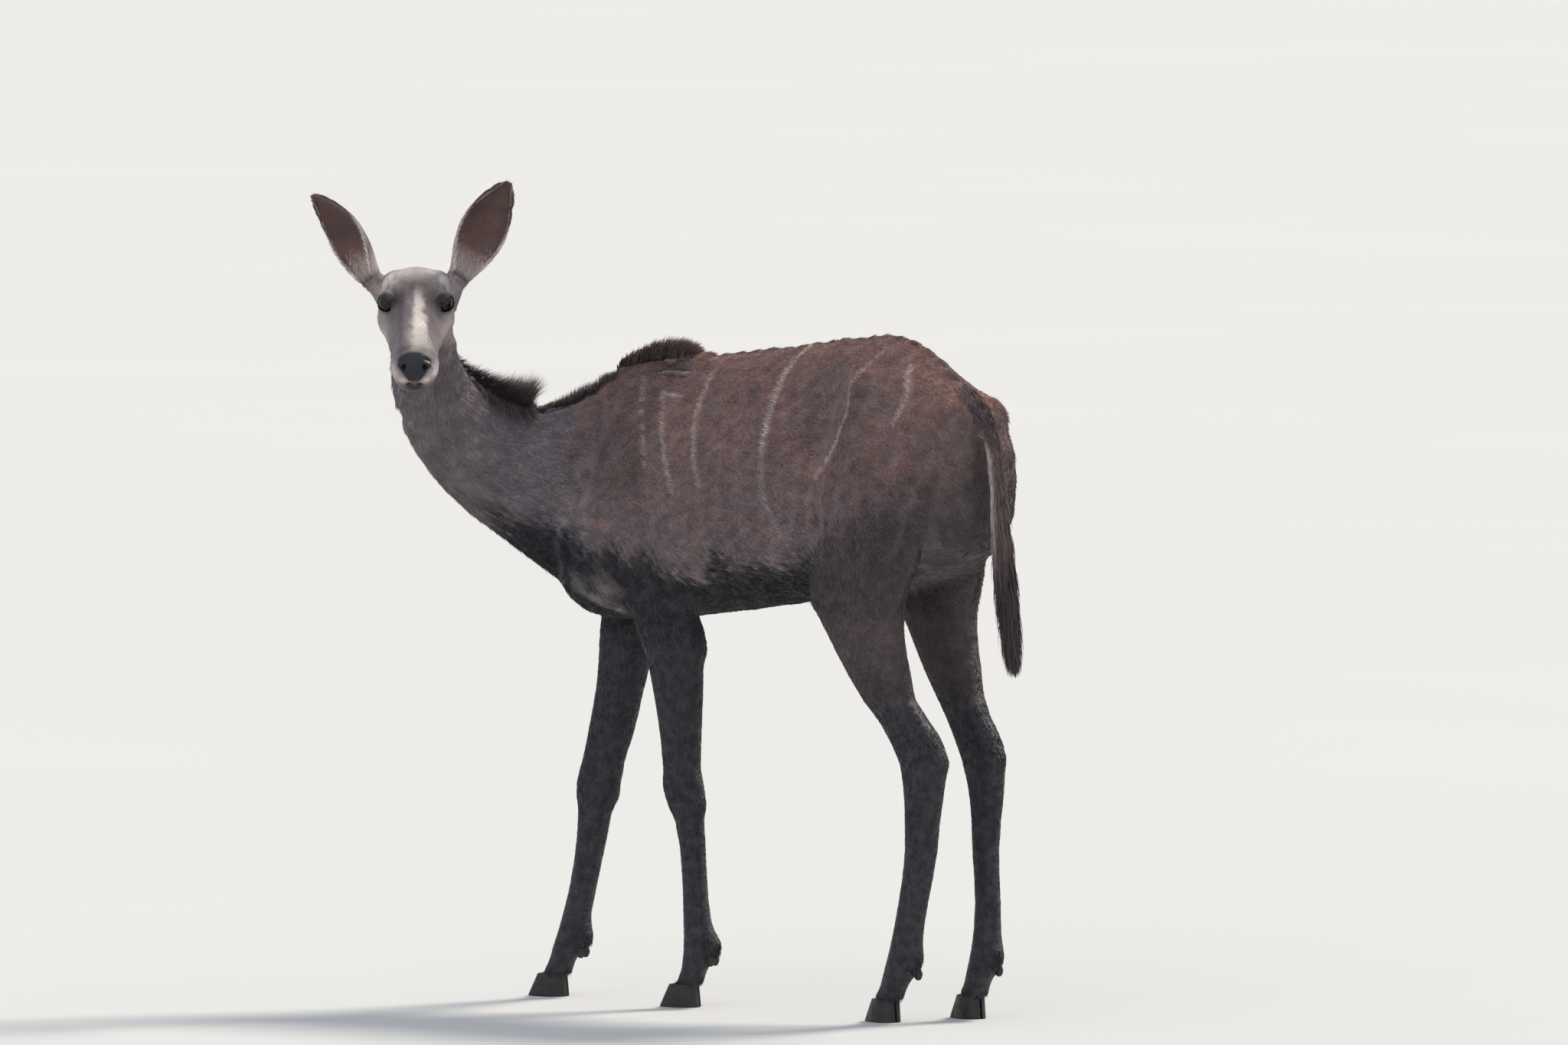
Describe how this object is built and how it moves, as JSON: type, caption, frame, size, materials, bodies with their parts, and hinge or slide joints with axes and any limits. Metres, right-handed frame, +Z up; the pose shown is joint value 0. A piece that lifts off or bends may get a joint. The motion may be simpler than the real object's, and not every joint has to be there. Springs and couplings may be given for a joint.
{
  "type": "greater kudu",
  "caption": "Greater kudu cow standing in mid stride with her head turned back over her left side, ears up; life-size still model with striped coat and muddy legs.",
  "frame": {"origin": "on the ground under the middle of the animal's bounding box", "axes": "+Z up; the trunk heads toward -X; the animal's left side faces -Y"},
  "size_m": [1.4134, 0.7634, 1.569],
  "materials": {
    "coat": "short matt grey-brown hair with thin white stripes across the flank",
    "face_coat": "short grey-brown hair, white lips and eye patches, dark blaze and nose",
    "leg_coat": "short hair caked in wet black mud, half gloss",
    "tail_hair": "coarse hair, brown above and black-brown at the tip",
    "ear": "velvety hair, dark brown with a pale fringe at the base",
    "eye": "wet dark brown, clear gloss",
    "hoof": "dark horn smeared with drying mud"
  },
  "bodies": {
    "root": {"torso": "coat", "neck": "coat", "head": "face_coat", "tail": "tail_hair", "ear_left": "ear", "ear_right": "ear", "foreleg_left": "leg_coat", "claw_fore_left_outer": "hoof", "dewclaw_fore_left_outer": "hoof", "claw_fore_left_inner": "hoof", "dewclaw_fore_left_inner": "hoof", "foreleg_right": "leg_coat", "claw_fore_right_outer": "hoof", "dewclaw_fore_right_outer": "hoof", "claw_fore_right_inner": "hoof", "dewclaw_fore_right_inner": "hoof", "hindleg_left": "leg_coat", "claw_hind_left_outer": "hoof", "dewclaw_hind_left_outer": "hoof", "claw_hind_left_inner": "hoof", "dewclaw_hind_left_inner": "hoof", "hindleg_right": "leg_coat", "claw_hind_right_outer": "hoof", "dewclaw_hind_right_outer": "hoof", "claw_hind_right_inner": "hoof", "dewclaw_hind_right_inner": "hoof", "eye_left": "eye", "eye_right": "eye"}
  },
  "joints": []
}
